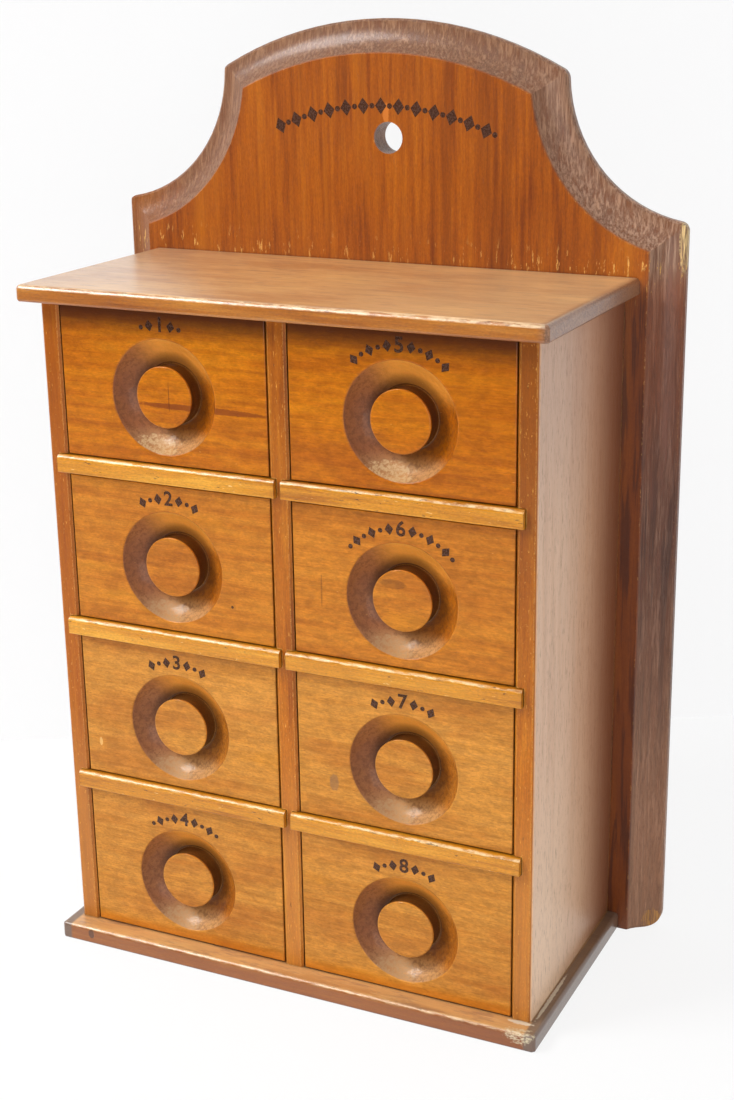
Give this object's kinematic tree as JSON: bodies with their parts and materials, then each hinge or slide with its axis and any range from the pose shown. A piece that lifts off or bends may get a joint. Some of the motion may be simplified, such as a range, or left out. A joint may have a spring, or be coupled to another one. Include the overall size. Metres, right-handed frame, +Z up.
{
  "type": "spice drawer cabinet",
  "caption": "Tabletop cabinet of small spice drawers with turned ring-and-button fronts, in a nailed case on an arched, coved backboard with a hanging hole.",
  "frame": {"origin": "bottom centre of the bounding box, on the surface the cabinet stands on", "axes": "+Z up, the drawer fronts face -Y, +X to the right as seen from the front"},
  "size_m": [0.279, 0.1264, 0.421],
  "materials": {
    "backboard_wood": "dark amber varnish",
    "case_wood": "amber varnish",
    "shelf_wood": "amber varnish, worn arris",
    "drawer_front_wood": "amber varnish",
    "drawer_box_wood": "unfinished",
    "cut_nails": "dull, darkened"
  },
  "bodies": {
    "case": {"backboard": "backboard_wood", "top_board": "case_wood", "base_board": "case_wood", "side_left": "case_wood", "side_right": "case_wood", "partition": "case_wood", "shelf_left_1": "shelf_wood", "shelf_left_2": "shelf_wood", "shelf_left_3": "shelf_wood", "shelf_right_1": "shelf_wood", "shelf_right_2": "shelf_wood", "shelf_right_3": "shelf_wood", "top_nails": "cut_nails", "base_nails": "cut_nails", "back_nails": "cut_nails"},
    "drawer_left_1": {"drawer_left_1_front": "drawer_front_wood", "drawer_left_1_sides": "drawer_box_wood", "drawer_left_1_back": "drawer_box_wood", "drawer_left_1_bottom": "drawer_box_wood", "drawer_left_1_brads": "cut_nails"},
    "drawer_left_2": {"drawer_left_2_front": "drawer_front_wood", "drawer_left_2_sides": "drawer_box_wood", "drawer_left_2_back": "drawer_box_wood", "drawer_left_2_bottom": "drawer_box_wood", "drawer_left_2_brads": "cut_nails"},
    "drawer_left_3": {"drawer_left_3_front": "drawer_front_wood", "drawer_left_3_sides": "drawer_box_wood", "drawer_left_3_back": "drawer_box_wood", "drawer_left_3_bottom": "drawer_box_wood", "drawer_left_3_brads": "cut_nails"},
    "drawer_left_4": {"drawer_left_4_front": "drawer_front_wood", "drawer_left_4_sides": "drawer_box_wood", "drawer_left_4_back": "drawer_box_wood", "drawer_left_4_bottom": "drawer_box_wood", "drawer_left_4_brads": "cut_nails"},
    "drawer_right_1": {"drawer_right_1_front": "drawer_front_wood", "drawer_right_1_sides": "drawer_box_wood", "drawer_right_1_back": "drawer_box_wood", "drawer_right_1_bottom": "drawer_box_wood", "drawer_right_1_brads": "cut_nails"},
    "drawer_right_2": {"drawer_right_2_front": "drawer_front_wood", "drawer_right_2_sides": "drawer_box_wood", "drawer_right_2_back": "drawer_box_wood", "drawer_right_2_bottom": "drawer_box_wood", "drawer_right_2_brads": "cut_nails"},
    "drawer_right_3": {"drawer_right_3_front": "drawer_front_wood", "drawer_right_3_sides": "drawer_box_wood", "drawer_right_3_back": "drawer_box_wood", "drawer_right_3_bottom": "drawer_box_wood", "drawer_right_3_brads": "cut_nails"},
    "drawer_right_4": {"drawer_right_4_front": "drawer_front_wood", "drawer_right_4_sides": "drawer_box_wood", "drawer_right_4_back": "drawer_box_wood", "drawer_right_4_bottom": "drawer_box_wood", "drawer_right_4_brads": "cut_nails"}
  },
  "joints": [
    {"name": "drawer_left_1_slide", "type": "slide", "parent": "case", "child": "drawer_left_1", "axis": [0, -1, 0], "range_m": [0, 0.085]},
    {"name": "drawer_left_2_slide", "type": "slide", "parent": "case", "child": "drawer_left_2", "axis": [0, -1, 0], "range_m": [0, 0.085]},
    {"name": "drawer_left_3_slide", "type": "slide", "parent": "case", "child": "drawer_left_3", "axis": [0, -1, 0], "range_m": [0, 0.085]},
    {"name": "drawer_left_4_slide", "type": "slide", "parent": "case", "child": "drawer_left_4", "axis": [0, -1, 0], "range_m": [0, 0.085]},
    {"name": "drawer_right_1_slide", "type": "slide", "parent": "case", "child": "drawer_right_1", "axis": [0, -1, 0], "range_m": [0, 0.085]},
    {"name": "drawer_right_2_slide", "type": "slide", "parent": "case", "child": "drawer_right_2", "axis": [0, -1, 0], "range_m": [0, 0.085]},
    {"name": "drawer_right_3_slide", "type": "slide", "parent": "case", "child": "drawer_right_3", "axis": [0, -1, 0], "range_m": [0, 0.085]},
    {"name": "drawer_right_4_slide", "type": "slide", "parent": "case", "child": "drawer_right_4", "axis": [0, -1, 0], "range_m": [0, 0.085]}
  ]
}
